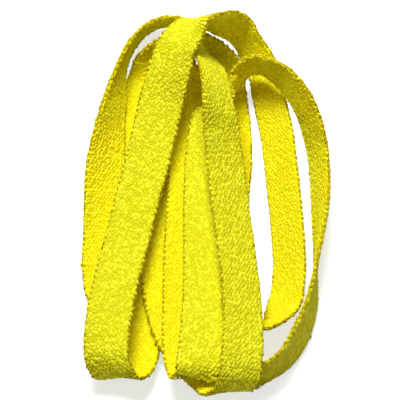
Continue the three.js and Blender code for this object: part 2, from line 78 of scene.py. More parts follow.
STRETCHES = (
    Stretch(
        "lace_end_a_pinched",
        (
            (-0.0245, -0.0395, 0.0013, -1.0, 0.0, 0.0, 0.32),
            (-0.0245, -0.0330, 0.0013, -1.0, 0.0, 0.0, 0.32),
        ),
    ),
    Stretch(
        "lace_end_a_gather",
        (
            (-0.0245, -0.0266, 0.0013, -1.0, 0.0, 0.0, 0.34),
            (-0.0243, -0.0225, 0.0022, -1.0, 0.0, 0.0, 0.7),
        ),
    ),
    Stretch(
        "left_loop_rise",
        (
            (-0.0234, -0.0175, 0.0026, -1.0, 0.0, 0.08),
            (-0.0231, -0.0110, 0.0030, -1.0, 0.0, 0.14),
            (-0.0231, -0.0045, 0.0038, -1.0, 0.0, 0.3),
            (-0.0232, 0.0035, 0.0049, -1.0, 0.0, 0.55),
            (-0.0227, 0.0105, 0.0058, -1.0, 0.0, 0.85),
            (-0.0219, 0.0175, 0.0067, -0.85, 0.0, 1.3),
            (-0.0207, 0.0240, 0.0071, -0.6, 0.05, 1.5),
            (-0.0194, 0.0305, 0.0075, -0.15, -0.05, 1.6),
            (-0.0174, 0.0362, 0.0064, 0.0, -0.22, 1.6),
        ),
    ),
    Stretch(
        "left_loop_top",
        (
            (-0.0146, 0.0405, 0.0055, 0.0, -0.36, 1.6),
            (-0.0112, 0.0429, 0.0053, 0.0, -0.38, 1.6),
            (-0.0073, 0.0432, 0.0053, 0.0, -0.34, 1.6),
            (-0.0035, 0.0412, 0.0052, 0.0, -0.1, 1.6),
            (0.0000, 0.0372, 0.0051, 0.05, 0.35, 1.5),
            (0.0025, 0.0349, 0.0043, 0.45, 0.35, 1.0),
            (0.0035, 0.0326, 0.0016, 0.95, 0.1, 0.2),
        ),
    ),
    Stretch(
        "middle_floor_run",
        (
            (0.0042, 0.0285, 0.0008, 1.0, 0.0, 0.0),
            (0.0050, 0.0220, 0.0006, 1.0, 0.0, 0.0),
            (0.0056, 0.0150, 0.0006, 1.0, 0.0, 0.0),
            (0.0055, 0.0075, 0.0006, 1.0, 0.0, 0.0),
            (0.0048, 0.0000, 0.0006, 1.0, 0.0, 0.0),
            (0.0046, -0.0085, 0.0008, 1.0, 0.0, 0.0),
            (0.0058, -0.0160, 0.0014, 1.0, 0.0, -0.15),
        ),
    ),
    Stretch(
        "right_inner_turn",
        (
            (0.0063, -0.0225, 0.0026, 1.0, 0.0, -0.5),
            (0.0078, -0.0274, 0.0037, 0.7, 0.3, -0.8),
            (0.0099, -0.0306, 0.0043, 0.3, 0.5, -0.9),
            (0.0129, -0.0319, 0.0045, 0.0, 0.5, -0.9),
            (0.0158, -0.0306, 0.0044, -0.4, 0.4, -0.9),
            (0.0176, -0.0270, 0.0036, -0.8, 0.2, -0.6, 0.93),
        ),
    ),
    Stretch(
        "right_inner_run",
        (
            (0.0187, -0.0220, 0.0033, -1.0, 0.0, -0.8, 0.93),
            (0.0190, -0.0155, 0.0033, -1.0, 0.0, -0.85, 0.92),
            (0.0186, -0.0080, 0.0033, -1.0, 0.0, -0.85, 0.92),
            (0.0181, -0.0008, 0.0033, -1.0, 0.0, -0.85, 0.92),
            (0.0174, 0.0065, 0.0033, -1.0, 0.0, -0.85, 0.92),
            (0.0167, 0.0138, 0.0033, -1.0, 0.0, -0.85, 0.92),
            (0.0157, 0.0198, 0.0032, -1.0, 0.0, -0.8, 0.88),
            (0.0145, 0.0257, 0.0031, -1.0, -0.05, -0.75, 0.86),
            (0.0135, 0.0313, 0.0033, -1.0, -0.2, -0.85, 0.85),
        ),
    ),
    Stretch(
        "top_climb",
        (
            (0.0109, 0.0362, 0.0051, -0.7, -0.35, -1.2, 0.9),
            (0.0081, 0.0393, 0.0075, -0.3, -0.25, -1.4),
            (0.0048, 0.0398, 0.0121, -0.1, -0.1, -1.5),
            (0.0016, 0.0389, 0.0162, -0.42, 0.12, -1.1),
            (-0.0015, 0.0376, 0.0187, -0.65, 0.3, -0.85),
        ),
    ),
    Stretch(
        "front_left_run",
        (
            (-0.0044, 0.0344, 0.0186, -0.9, 0.4, -0.5),
            (-0.0069, 0.0308, 0.0177, -1.0, 0.35, -0.35),
            (-0.0084, 0.0260, 0.0155, -1.0, 0.3, -0.2),
            (-0.0102, 0.0199, 0.0124, -1.0, 0.2, -0.05),
            (-0.0118, 0.0133, 0.0108, -1.0, 0.2, 0.0),
            (-0.0136, 0.0052, 0.0096, -1.0, 0.2, 0.0),
            (-0.0157, -0.0030, 0.0089, -1.0, 0.2, 0.0),
            (-0.0179, -0.0128, 0.0086, -1.0, 0.2, 0.0),
            (-0.0200, -0.0215, 0.0090, -1.0, 0.2, 0.0),
            (-0.0216, -0.0303, 0.0096, -1.0, 0.15, 0.0),
        ),
    ),
    Stretch(
        "front_left_turn",
        (
            (-0.0223, -0.0365, 0.0098, -1.0, 0.1, -0.1),
            (-0.0222, -0.0410, 0.0092, -1.0, 0.05, -0.2),
            (-0.0211, -0.0435, 0.0070, -1.0, 0.0, -0.3),
            (-0.0191, -0.0439, 0.0044, -1.0, 0.1, -0.35),
            (-0.0168, -0.0420, 0.0027, -1.0, 0.1, -0.3),
        ),
    ),
    Stretch(
        "left_floor_run",
        (
            (-0.0154, -0.0377, 0.0018, -1.0, 0.0, -0.2),
            (-0.0154, -0.0320, 0.0012, -1.0, 0.0, -0.1),
            (-0.0161, -0.0255, 0.0007, -1.0, 0.0, 0.0),
            (-0.0170, -0.0180, 0.0006, -1.0, 0.0, 0.0),
            (-0.0177, -0.0095, 0.0006, -1.0, 0.0, 0.0),
            (-0.0179, 0.0000, 0.0006, -1.0, 0.0, 0.0),
            (-0.0173, 0.0100, 0.0006, -1.0, 0.0, 0.0),
            (-0.0163, 0.0185, 0.0006, -1.0, 0.0, 0.0),
            (-0.0150, 0.0250, 0.0006, -1.0, 0.0, 0.0),
        ),
    ),
    Stretch(
        "second_top",
        (
            (-0.0129, 0.0307, 0.0011, -1.0, 0.05, 0.0),
            (-0.0117, 0.0337, 0.0030, -0.9, 0.3, 0.5),
            (-0.0101, 0.0360, 0.0048, -0.4, 0.2, 1.2),
            (-0.0069, 0.0369, 0.0060, -0.15, 0.0, 1.5),
            (-0.0032, 0.0353, 0.0082, -0.2, 0.0, 1.4),
            (-0.0001, 0.0328, 0.0102, -0.4, -0.12, 0.95),
        ),
    ),
    Stretch(
        "front_right_run",
        (
            (0.0013, 0.0275, 0.0148, -0.6, -0.05, 0.75, 0.92),
            (0.0022, 0.0222, 0.0174, -0.68, 0.0, 0.72, 0.92),
            (0.0028, 0.0166, 0.0171, -0.72, 0.0, 0.69, 0.95),
            (0.0036, 0.0107, 0.0140, -0.78, 0.0, 0.62),
            (0.0045, 0.0030, 0.0120, -0.83, 0.0, 0.55),
            (0.0056, -0.0065, 0.0112, -0.85, 0.0, 0.53),
            (0.0068, -0.0163, 0.0112, -0.85, 0.0, 0.53),
            (0.0079, -0.0264, 0.0120, -0.85, 0.0, 0.53),
            (0.0082, -0.0354, 0.0132, -0.87, 0.0, 0.5),
        ),
    ),
    Stretch(
        "front_right_turn",
        (
            (0.0079, -0.0425, 0.0142, -0.9, 0.0, 0.45),
            (0.0074, -0.0472, 0.0130, -0.9, -0.1, 0.45),
            (0.0060, -0.0489, 0.0098, -0.9, -0.15, 0.4),
            (0.0036, -0.0473, 0.0066, -0.9, -0.3, 0.2),
            (0.0006, -0.0438, 0.0050, -0.8, -0.5, 0.05),
        ),
    ),
    Stretch(
        "under_left_run",
        (
            (-0.0026, -0.0400, 0.0043, -0.8, -0.5, 0.0),
            (-0.0056, -0.0358, 0.0038, -0.9, -0.35, 0.0),
            (-0.0079, -0.0302, 0.0033, -1.0, -0.1, 0.05),
            (-0.0093, -0.0226, 0.0027, -1.0, 0.0, 0.05),
            (-0.0104, -0.0139, 0.0024, -1.0, 0.0, 0.05),
            (-0.0111, -0.0042, 0.0024, -1.0, 0.0, 0.05),
            (-0.0113, 0.0056, 0.0024, -1.0, 0.0, 0.05),
            (-0.0113, 0.0140, 0.0027, -1.0, 0.0, 0.2),
        ),
    ),
    Stretch(
        "inner_top",
        (
            (-0.0114, 0.0205, 0.0038, -1.0, 0.0, 0.5),
            (-0.0112, 0.0250, 0.0052, -0.8, 0.3, 1.0),
            (-0.0093, 0.0284, 0.0058, -0.3, 0.5, 1.2),
            (-0.0068, 0.0296, 0.0062, 0.0, 0.7, 1.2),
            (-0.0045, 0.0283, 0.0073, 0.5, 0.5, 0.9),
        ),
    ),
    Stretch(
        "inner_run",
        (
            (-0.0038, 0.0252, 0.0054, 1.0, 0.2, 0.1),
            (-0.0043, 0.0205, 0.0036, 1.0, 0.0, -0.25),
            (-0.0041, 0.0113, 0.0036, 1.0, 0.0, -0.3),
            (-0.0039, 0.0000, 0.0040, 1.0, 0.0, -0.3),
            (-0.0046, -0.0110, 0.0042, 1.0, 0.0, -0.3),
            (-0.0049, -0.0220, 0.0046, 1.0, 0.0, -0.3),
            (-0.0049, -0.0310, 0.0056, 1.0, 0.0, -0.25),
        ),
    ),
    Stretch(
        "inner_turn",
        (
            (-0.0048, -0.0382, 0.0067, 1.0, 0.0, -0.2),
            (-0.0041, -0.0432, 0.0076, 1.0, 0.1, -0.25),
            (-0.0030, -0.0456, 0.0093, 1.0, 0.1, -0.2),
            (-0.0018, -0.0441, 0.0107, 1.0, 0.05, -0.15),
        ),
    ),
    Stretch(
        "middle_run",
        (
            (-0.0011, -0.0387, 0.0106, 1.0, 0.0, -0.1),
            (-0.0008, -0.0290, 0.0093, 1.0, 0.0, -0.05, 0.9),
            (-0.0009, -0.0174, 0.0080, 1.0, 0.0, -0.05, 0.83),
            (-0.0011, -0.0060, 0.0072, 1.0, 0.0, 0.0, 0.8),
            (-0.0008, 0.0038, 0.0070, 1.0, 0.0, 0.05, 0.82),
            (0.0001, 0.0110, 0.0072, 1.0, 0.0, 0.1, 0.9),
        ),
    ),
    Stretch(
        "right_loop_top",
        (
            (0.0013, 0.0163, 0.0081, 1.0, 0.0, 0.25),
            (0.0024, 0.0196, 0.0090, 0.65, -0.2, 0.66),
            (0.0041, 0.0230, 0.0069, 0.25, 0.0, 1.2),
            (0.0060, 0.0256, 0.0067, 0.1, 0.0, 1.5),
            (0.0077, 0.0275, 0.0071, 0.05, 0.0, 1.5),
            (0.0091, 0.0288, 0.0089, 0.0, 0.0, 1.5),
            (0.0116, 0.0292, 0.0108, 0.0, 0.0, 1.5),
            (0.0143, 0.0280, 0.0122, 0.1, 0.0, 1.5),
            (0.0175, 0.0257, 0.0127, 0.3, 0.1, 1.5),
            (0.0202, 0.0228, 0.0126, 0.4, 0.1, 1.5),
        ),
    ),
    Stretch(
        "right_loop_run",
        (
            (0.0225, 0.0195, 0.0114, 0.5, 0.0, 1.5),
            (0.0243, 0.0154, 0.0086, 0.5, 0.0, 1.5),
            (0.0257, 0.0102, 0.0061, 0.6, 0.0, 1.5),
            (0.0262, 0.0033, 0.0053, 0.6, 0.0, 1.5),
            (0.0262, -0.0041, 0.0053, 0.5, 0.0, 1.5),
            (0.0257, -0.0114, 0.0053, 0.25, 0.0, 1.5),
            (0.0250, -0.0183, 0.0052, 0.0, 0.0, 1.5),
            (0.0243, -0.0249, 0.0052, -0.25, 0.0, 1.5),
            (0.0227, -0.0310, 0.0052, -0.4, 0.1, 1.5),
            (0.0202, -0.0364, 0.0052, -0.4, 0.2, 1.5),
            (0.0173, -0.0405, 0.0052, -0.2, 0.2, 1.5),
        ),
    ),
    Stretch(
        "lace_end_b_gather",
        (
            (0.0138, -0.0430, 0.0052, 0.0, 0.2, 1.5),
            (0.0109, -0.0434, 0.0046, 0.0, 0.3, 1.3, 0.97),
            (0.0088, -0.0428, 0.0032, 0.0, 0.7, 0.8, 0.75),
            (0.0067, -0.0419, 0.0018, 0.0, 1.0, 0.25, 0.48),
        ),
    ),
    Stretch(
        "lace_end_b_pinched",
        (
            (0.0044, -0.0413, 0.0013, 0.0, 1.0, 0.0, 0.32),
            (-0.0019, -0.0400, 0.0013, 0.0, 1.0, 0.0, 0.32),
            (-0.0082, -0.0387, 0.0013, 0.0, 1.0, 0.0, 0.32),
        ),
    ),
)


# ---- the braid's sizes and where it lies ------------------------------------------------------
@dataclass(frozen=True)
class BraidSizes:
    """The driving sizes of the flat braid, in metres."""

    width: float = 0.0100
    core_thickness: float = 0.00084
    pinched_thickness: float = 0.00135
    edge_radius: float = 0.00055
    columns: int = 24
    row_pitch: float = 0.00068
    tip_length: float = 0.0125
    lay_shift: tuple[float, float, float] = (0.0, 0.00271, 0.0)


@dataclass(frozen=True)
class Frames:
    """Square frames along the lace, one per row of every array."""

    place: np.ndarray
    along: np.ndarray
    across: np.ndarray
    out: np.ndarray
    share: np.ndarray


@dataclass
class LaceRoute:
    """The middle line of the lace and the way its face turns along it."""

    sizes: BraidSizes = field(default_factory=BraidSizes)
    steps_per_row: int = 40
    look_ahead: float = 0.0002

    @cached_property
    def rows(self) -> list[tuple[float, ...]]:
        """Every row of every stretch, in order."""
        return [row for stretch in STRETCHES for row in stretch.rows]

    @cached_property
    def places(self) -> np.ndarray:
        """The rows' places, shifted so that the frame's origin is under the bundle's middle."""
        return np.array([row[:3] for row in self.rows]) + np.array(self.sizes.lay_shift)

    @cached_property
    def across(self) -> np.ndarray:
        """The rows' directions across the lace, at unit length."""
        way = np.array([row[3:6] for row in self.rows])
        return way / np.linalg.norm(way, axis=1)[:, None]

    @cached_property
    def shares(self) -> np.ndarray:
        """The share of the full width at each row."""
        return np.array([row[6] if len(row) > 6 else 1.0 for row in self.rows])

    def _curve(self, values: np.ndarray, positions: np.ndarray) -> np.ndarray:
        """A smooth curve through the rows' values.

        Args:
            values: one row of numbers for each row of the route.
            positions: where to read the curve, counted in rows.

        Returns:
            One row of numbers for each position.
        """
        first = 2 * values[0] - values[1]
        last = 2 * values[-1] - values[-2]
        padded = np.vstack([first, values, last])
        i = np.minimum(positions.astype(int), len(values) - 2)
        t = (positions - i)[:, None]
        before, here, ahead, after = (padded[i + k] for k in range(4))
        linear = (ahead - before) * t
        square = (2 * before - 5 * here + 4 * ahead - after) * t**2
        cube = (3 * here - before - 3 * ahead + after) * t**3
        return here + 0.5 * (linear + square + cube)

    @cached_property
    def _marks(self) -> tuple[np.ndarray, np.ndarray]:
        """Positions counted in rows, and the length of lace up to each of them."""
        count = (len(self.rows) - 1) * self.steps_per_row
        positions = np.arange(count + 1) / self.steps_per_row
        points = self._curve(self.places, positions)
        steps = np.linalg.norm(np.diff(points, axis=0), axis=1)
        return positions, np.concatenate([[0.0], np.cumsum(steps)])

    @property
    def length(self) -> float:
        """The lace's whole length."""
        return float(self._marks[1][-1])

    def frames(self, lengths: np.ndarray) -> Frames:
        """Square frames of the lace.

        Args:
            lengths: how far along the lace each frame stands.

        Returns:
            The frames, with the along and out directions square to the across one.
        """
        positions, marks = self._marks
        held = np.clip(lengths, 0.0, self.length)
        ahead = np.interp(np.minimum(held + self.look_ahead, self.length), marks, positions)
        behind = np.interp(np.maximum(held - self.look_ahead, 0.0), marks, positions)
        here = np.interp(held, marks, positions)
        along = self._curve(self.places, ahead) - self._curve(self.places, behind)
        along /= np.linalg.norm(along, axis=1)[:, None]
        across = self._curve(self.across, here)
        across -= np.sum(across * along, axis=1)[:, None] * along
        across /= np.linalg.norm(across, axis=1)[:, None]
        share = np.interp(here, np.arange(len(self.rows)), self.shares)
        return Frames(self._curve(self.places, here), along, across, np.cross(across, along), share)


@dataclass
class BraidSection:
    """The section of the braid: two broad faces joined by round edges."""

    sizes: BraidSizes = field(default_factory=BraidSizes)
    full_share: float = 0.8
    pinched_share: float = 0.32
    crown: float = 0.10
    fine: int = 360
    reading_gap: float = 0.002

    def half_thickness(self, share: float) -> float:
        """Half the core's thickness where it holds a share of its width."""
        pinch = (self.full_share - share) / (self.full_share - self.pinched_share)
        pinch = min(max(pinch, 0.0), 1.0)
        thick, thin = self.sizes.pinched_thickness, self.sizes.core_thickness
        return (thin + (thick - thin) * pinch) / 2

    def loop(self, share: float, turns: np.ndarray) -> tuple[np.ndarray, np.ndarray]:
        """Points around the section, evenly spaced by length around it.

        Args:
            share: the share of the full width.
            turns: where the points stand, from 0 to 1 around the section.

        Returns:
            The points as across and out distances, and their outward unit directions.
        """
        half_width = self.sizes.width * share / 2
        half_thick = self.half_thickness(share)
        radius = min(self.sizes.edge_radius, half_width)
        angle = np.linspace(0.0, 2 * math.pi, self.fine + 1)
        shift = np.where(np.cos(angle) >= 0, 1.0, -1.0) * (half_width - radius)
        across = shift + radius * np.cos(angle)
        swell = 1.0 + self.crown * np.cos(np.clip(across / half_width, -1, 1) * math.pi / 2)
        outward = half_thick * np.sin(angle) * swell
        ring = np.stack([across, outward], axis=1)
        steps = np.linalg.norm(np.diff(ring, axis=0), axis=1)
        marks = np.concatenate([[0.0], np.cumsum(steps)])
        where = (np.asarray(turns) % 1.0) * marks[-1]
        points = self._read(ring, marks, where)
        small = marks[-1] * self.reading_gap
        way = self._read(ring, marks, (where + small) % marks[-1])
        way -= self._read(ring, marks, (where - small) % marks[-1])
        way /= np.linalg.norm(way, axis=1)[:, None]
        return points, np.stack([way[:, 1], -way[:, 0]], axis=1)

    @staticmethod
    def _read(ring: np.ndarray, marks: np.ndarray, where: np.ndarray) -> np.ndarray:
        """The ring's points at given lengths around it."""
        return np.stack([np.interp(where, marks, ring[:, k]) for k in (0, 1)], axis=1)


# ---- mesh helpers -----------------------------------------------------------------------------
def mesh_object(name: str, points: np.ndarray, faces: list[tuple[int, ...]]) -> bpy.types.Object:
    """A smooth-shaded mesh object at the origin.

    Args:
        name: the object's name.
        points: its vertices in metres.
        faces: its faces as vertex numbers.

    Returns:
        The new object, linked into the scene.
    """
    mesh = bpy.data.meshes.new(name)
    mesh.from_pydata(points.tolist(), [], faces)
    mesh.update()
    mesh.polygons.foreach_set("use_smooth", np.ones(len(mesh.polygons), bool))
    thing = bpy.data.objects.new(name, mesh)
    bpy.context.scene.collection.objects.link(thing)
    return thing


def face_outward(thing: bpy.types.Object) -> None:
    """Turn every face of a closed mesh to point away from its inside."""
    work = bmesh.new()
    work.from_mesh(thing.data)
    bmesh.ops.recalc_face_normals(work, faces=work.faces)
    work.to_mesh(thing.data)
    work.free()


def store(mesh: bpy.types.Mesh, name: str, values: np.ndarray) -> None:
    """Keep one number or one direction for each vertex as a named attribute.

    Args:
        mesh: the mesh that takes the attribute.
        name: the attribute's name.
        values: one number, or three, for each vertex.
    """
    values = np.asarray(values, dtype=np.float32)
    kind, key = ("FLOAT", "value") if values.ndim == 1 else ("FLOAT_VECTOR", "vector")
    layer = mesh.attributes.new(name, kind, "POINT")
    layer.data.foreach_set(key, values.ravel())


def tube_faces(rings: int, around: int) -> list[tuple[int, ...]]:
    """The faces of a tube of rings, closed by one flat face at each end.

    Args:
        rings: how many rings the tube has.
        around: how many points each ring has.

    Returns:
        The faces as vertex numbers.
    """
    faces: list[tuple[int, ...]] = []
    for ring in range(rings - 1):
        for k in range(around):
            n = (k + 1) % around
            a, b = ring * around + k, ring * around + n
            faces.append((a, b, b + around, a + around))
    last = (rings - 1) * around
    faces.append(tuple(range(around)))
    faces.append(tuple(last + k for k in reversed(range(around))))
    return faces


# ---- finishes ---------------------------------------------------------------------------------
@dataclass(frozen=True)
class FibreAmounts:
    """How much each cause adds to the shade of spun filament, and how far its ridges wander."""

    wander: float = 6.0
    ridge: float = 0.25
    # tone and tone_power: each float's random tone, raised to a power so that a few floats stand
    # out bright as painted highlights.
    tone: float = 0.60
    tone_power: float = 2.0
    mottle: float = 0.25
    mottle_detail: float = 3.0


def math_node(
    tree: bpy.types.NodeTree, operation: str, *values: bpy.types.NodeSocket | float
) -> bpy.types.NodeSocket:
    """Add one math node.

    Args:
        tree: the tree that takes the node.
        operation: what the node works out.
        values: its inputs in order, each a socket or a plain number.

    Returns:
        The node's result.
    """
    node = tree.nodes.new("ShaderNodeMath")
    node.operation = operation
    for socket, value in zip(node.inputs, values):
        if isinstance(value, bpy.types.NodeSocket):
            tree.links.new(value, socket)
        else:
            socket.default_value = value
    return node.outputs[0]


def fibre_group() -> bpy.types.NodeTree:
    """The shader group of spun filament, built once and shared by both yarns.

    Returns:
        A group that takes the place across a yarn, its tone and two scales, and gives a
        shade from 0 to 1 and a height.
    """
    name = "spun_filament"
    if name in bpy.data.node_groups:
        return bpy.data.node_groups[name]
    amounts = FibreAmounts()
    group = bpy.data.node_groups.new(name, "ShaderNodeTree")
    face = group.interface
    for label, kind in (
        ("Vector", "NodeSocketVector"),
        ("Across", "NodeSocketFloat"),
        ("Tone", "NodeSocketFloat"),
        ("Filaments", "NodeSocketFloat"),
        ("Mottle Scale", "NodeSocketFloat"),
    ):
        face.new_socket(label, in_out="INPUT", socket_type=kind)
    face.new_socket("Shade", in_out="OUTPUT", socket_type="NodeSocketFloat")
    face.new_socket("Height", in_out="OUTPUT", socket_type="NodeSocketFloat")
    nodes, links = group.nodes, group.links
    given = nodes.new("NodeGroupInput")
    taken = nodes.new("NodeGroupOutput")

    noise = nodes.new("ShaderNodeTexNoise")
    noise.inputs["Detail"].default_value = amounts.mottle_detail
    links.new(given.outputs["Vector"], noise.inputs["Vector"])
    links.new(given.outputs["Mottle Scale"], noise.inputs["Scale"])
    mottle = noise.outputs["Fac"]

    phase = math_node(group, "MULTIPLY", given.outputs["Across"], given.outputs["Filaments"])
    turned = math_node(group, "MULTIPLY_ADD", mottle, amounts.wander, phase)
    ridge = math_node(group, "MULTIPLY_ADD", math_node(group, "COSINE", turned), 0.5, 0.5)

    # Each float's random tone, squared so that a few floats stand out bright: partly random yarn
    # tone, partly painted highlights.
    rare_glints = math_node(group, "POWER", given.outputs["Tone"], amounts.tone_power)
    toned = math_node(group, "MULTIPLY", rare_glints, amounts.tone)
    streak = math_node(group, "MULTIPLY_ADD", ridge, amounts.ridge, toned)
    shade = math_node(group, "MULTIPLY_ADD", mottle, amounts.mottle, streak)
    shade.node.use_clamp = True
    links.new(shade, taken.inputs["Shade"])
    links.new(ridge, taken.inputs["Height"])
    return group


@dataclass(frozen=True)
class YarnFinish:
    """Dyed textured filament yarn: matt and soft, with painted shade on the lace's two edges
    standing in for the shadow where runs overlap.

    The lace's inner face, which shows on the lower runs, takes the brighter, warmer glow colours as
    painted light, standing in for light bouncing between the runs and shining through the yarn; the
    outer face takes the cooler deep and light colours.
    """

    name: str = "yellow_yarn"
    deep: tuple[float, float, float, float] = (0.72, 0.72, 0.004, 1.0)
    light: tuple[float, float, float, float] = (0.97, 1.0, 0.030, 1.0)
    # Painted light: the inner face's brighter, warmer colours, standing in for light bouncing
    # between the stacked runs and shining through the yarn.
    painted_glow_deep: tuple[float, float, float, float] = (0.95, 0.85, 0.002, 1.0)
    painted_glow_light: tuple[float, float, float, float] = (1.0, 1.0, 0.012, 1.0)
    # Painted shade: the colour the lace's rounded edges are darkened towards, standing in for the
    # shadow where runs overlap.
    edge: tuple[float, float, float, float] = (0.50, 0.36, 0.002, 1.0)
    edge_shade_weight: float = 0.85
    edge_shade_turn: tuple[float, float] = (0.45, 0.90)
    face_turn: float = 0.6
    roughness: float = 0.72
    specular: float = 0.10
    sheen: float = 0.10
    sheen_roughness: float = 0.45
    sheen_tint: tuple[float, float, float, float] = (1.0, 0.95, 0.35, 1.0)
    filaments: float = 11.0
    mottle_scale: float = 900.0
    bump: float = 0.35
    bump_height: float = 0.00006

    def make(self) -> bpy.types.Material:
        """Build the material.

        Returns:
            A node material whose streaks follow each float of yarn.
        """
        material = bpy.data.materials.new(self.name)
        material.use_nodes = True
        nodes, links = material.node_tree.nodes, material.node_tree.links
        shader = nodes["Principled BSDF"]
        place = nodes.new("ShaderNodeTexCoord")
        across = nodes.new("ShaderNodeAttribute")
        across.attribute_name = "across_yarn"
        tone = nodes.new("ShaderNodeAttribute")
        tone.attribute_name = "tone"
        fibre = nodes.new("ShaderNodeGroup")
        fibre.node_tree = fibre_group()
        fibre.inputs["Filaments"].default_value = self.filaments
        fibre.inputs["Mottle Scale"].default_value = self.mottle_scale
        links.new(place.outputs["Object"], fibre.inputs["Vector"])
        links.new(across.outputs["Fac"], fibre.inputs["Across"])
        links.new(tone.outputs["Fac"], fibre.inputs["Tone"])

        # Painted light: the inner face, where face_side is below zero, takes the glow colours; the
        # outer face takes the deep and light ones.
        side = nodes.new("ShaderNodeAttribute")
        side.attribute_name = "face_side"
        which = nodes.new("ShaderNodeMapRange")
        which.inputs["From Min"].default_value = -self.face_turn
        which.inputs["From Max"].default_value = self.face_turn
        links.new(side.outputs["Fac"], which.inputs["Value"])
        faces = []
        for low, high in ((self.painted_glow_deep, self.painted_glow_light), (self.deep, self.light)):
            blend = nodes.new("ShaderNodeMix")
            blend.data_type = "RGBA"
            blend.inputs["A"].default_value = low
            blend.inputs["B"].default_value = high
            links.new(fibre.outputs["Shade"], blend.inputs["Factor"])
            faces.append(blend.outputs["Result"])
        both = nodes.new("ShaderNodeMix")
        both.data_type = "RGBA"
        links.new(which.outputs["Result"], both.inputs["Factor"])
        links.new(faces[0], both.inputs["A"])
        links.new(faces[1], both.inputs["B"])

        # Painted shade: where the section turns from one face to the other, on the lace's two
        # edges, mix the colour towards the edge colour.
        flatness = math_node(material.node_tree, "ABSOLUTE", side.outputs["Fac"])
        edge_shade_mask = nodes.new("ShaderNodeMapRange")
        edge_shade_mask.inputs["From Min"].default_value = self.edge_shade_turn[0]
        edge_shade_mask.inputs["From Max"].default_value = self.edge_shade_turn[1]
        edge_shade_mask.inputs["To Min"].default_value = self.edge_shade_weight
        edge_shade_mask.inputs["To Max"].default_value = 0.0
        links.new(flatness, edge_shade_mask.inputs["Value"])
        edge_shaded = nodes.new("ShaderNodeMix")
        edge_shaded.data_type = "RGBA"
        edge_shaded.inputs["B"].default_value = self.edge
        links.new(edge_shade_mask.outputs["Result"], edge_shaded.inputs["Factor"])
        links.new(both.outputs["Result"], edge_shaded.inputs["A"])
        links.new(edge_shaded.outputs["Result"], shader.inputs["Base Color"])

        relief = nodes.new("ShaderNodeBump")
        relief.inputs["Strength"].default_value = self.bump
        relief.inputs["Distance"].default_value = self.bump_height
        links.new(fibre.outputs["Height"], relief.inputs["Height"])
        links.new(relief.outputs["Normal"], shader.inputs["Normal"])

        shader.inputs["Roughness"].default_value = self.roughness
        shader.inputs["Specular IOR Level"].default_value = self.specular
        shader.inputs["Sheen Weight"].default_value = self.sheen
        shader.inputs["Sheen Roughness"].default_value = self.sheen_roughness
        shader.inputs["Sheen Tint"].default_value = self.sheen_tint
        return material


@dataclass(frozen=True)
class FilmFinish:
    """Clear film shrunk on to the braid: glossy, faintly yellow, with fine rubbed streaks."""

    name: str = "clear_film"
    clean: tuple[float, float, float, float] = (0.93, 0.91, 0.72, 1.0)
    rubbed: tuple[float, float, float, float] = (0.85, 0.82, 0.52, 1.0)
    roughness_low: float = 0.14
    roughness_high: float = 0.34
    opacity_low: float = 0.22
    opacity_high: float = 0.42
    streak_scale: float = 700.0
    streak_detail: float = 4.0
    index: float = 1.49

    def make(self) -> bpy.types.Material:
        """Build the material.

        Returns:
            A node material that lets the yarn under it show.
        """
        material = bpy.data.materials.new(self.name)
        material.use_nodes = True
        nodes, links = material.node_tree.nodes, material.node_tree.links
        shader = nodes["Principled BSDF"]
        place = nodes.new("ShaderNodeTexCoord")
        noise = nodes.new("ShaderNodeTexNoise")
        noise.inputs["Scale"].default_value = self.streak_scale
        noise.inputs["Detail"].default_value = self.streak_detail
        links.new(place.outputs["Object"], noise.inputs["Vector"])
        blend = nodes.new("ShaderNodeMix")
        blend.data_type = "RGBA"
        blend.inputs["A"].default_value = self.clean
        blend.inputs["B"].default_value = self.rubbed
        links.new(noise.outputs["Fac"], blend.inputs["Factor"])
        links.new(blend.outputs["Result"], shader.inputs["Base Color"])
        for socket, low, high in (
            ("Roughness", self.roughness_low, self.roughness_high),
            ("Alpha", self.opacity_low, self.opacity_high),
        ):
            span = nodes.new("ShaderNodeMapRange")
            span.inputs["To Min"].default_value = low
            span.inputs["To Max"].default_value = high
            links.new(noise.outputs["Fac"], span.inputs["Value"])
            links.new(span.outputs["Result"], shader.inputs[socket])
        shader.inputs["IOR"].default_value = self.index
        return material


# ---- the lace ---------------------------------------------------------------------------------
@dataclass
class BraidBody:
    """The continuous body of the braid under its raised floats of yarn."""

    route: LaceRoute
    section: BraidSection
    finish: bpy.types.Material
    around: int = 32
    ring_pitch: float = 0.00136
    tone: float = 0.1
    name: str = "lace_body"

    def build(self) -> tuple[bpy.types.Object, np.ndarray]:
        """Sweep the section along the whole lace.

        Returns:
            The closed body, and the middle points of its rings.
        """
        count = round(self.route.length / self.ring_pitch)
        frames = self.route.frames(np.linspace(0.0, self.route.length, count + 1))
        turns = np.arange(self.around) / self.around
        points = []
        face_side = []
        for i, place in enumerate(frames.place):
            ring, facing = self.section.loop(frames.share[i], turns)
            points.append(place + ring[:, :1] * frames.across[i] + ring[:, 1:] * frames.out[i])
            face_side.append(facing[:, 1])
        body = mesh_object(self.name, np.vstack(points), tube_faces(count + 1, self.around))
        face_outward(body)
        store(body.data, "face_side", np.concatenate(face_side))
        store(body.data, "across_yarn", np.tile(turns * self.route.sizes.columns, count + 1))
        store(body.data, "tone", np.full(len(body.data.vertices), self.tone))
        body.data.materials.append(self.finish)
        return body, frames.place


